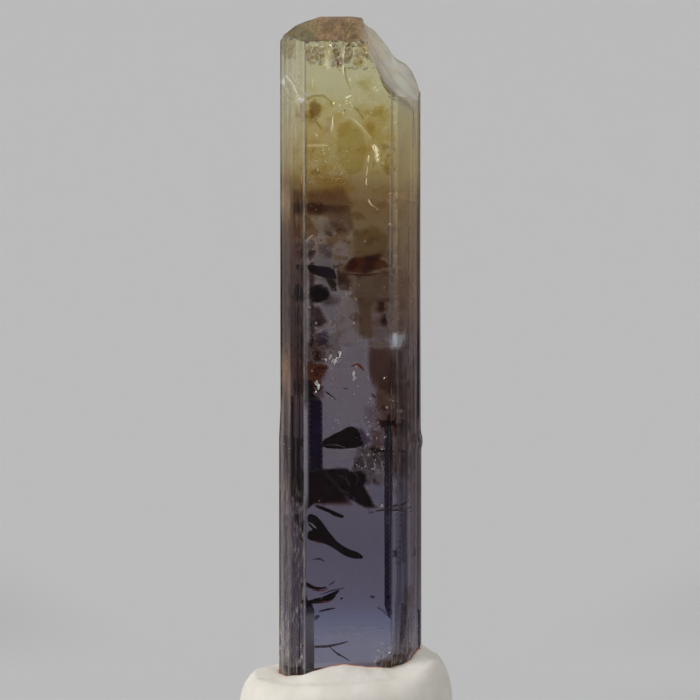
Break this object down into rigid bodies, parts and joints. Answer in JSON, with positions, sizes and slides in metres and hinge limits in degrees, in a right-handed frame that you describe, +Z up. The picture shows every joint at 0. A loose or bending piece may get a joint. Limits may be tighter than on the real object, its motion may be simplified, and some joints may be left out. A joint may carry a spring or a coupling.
{
  "type": "tanzanite crystal",
  "caption": "Long upright tanzanite prism, clear yellow-green at its rounded etched top, brown in the middle and violet-blue below, its broken foot pressed into a lump of white putty.",
  "frame": {"origin": "on the table under the middle of the putty lump, at the middle of the part's bounding box", "axes": "+Z up along the crystal, -Y towards the viewer of its broad front face, +X to the viewer's right"},
  "size_m": [0.0106, 0.0094, 0.0364],
  "materials": {
    "tanzanite": "clear, with bright striated sides",
    "putty": "soft matte white"
  },
  "bodies": {
    "root": {"crystal": "tanzanite", "putty_base": "putty"}
  },
  "joints": []
}
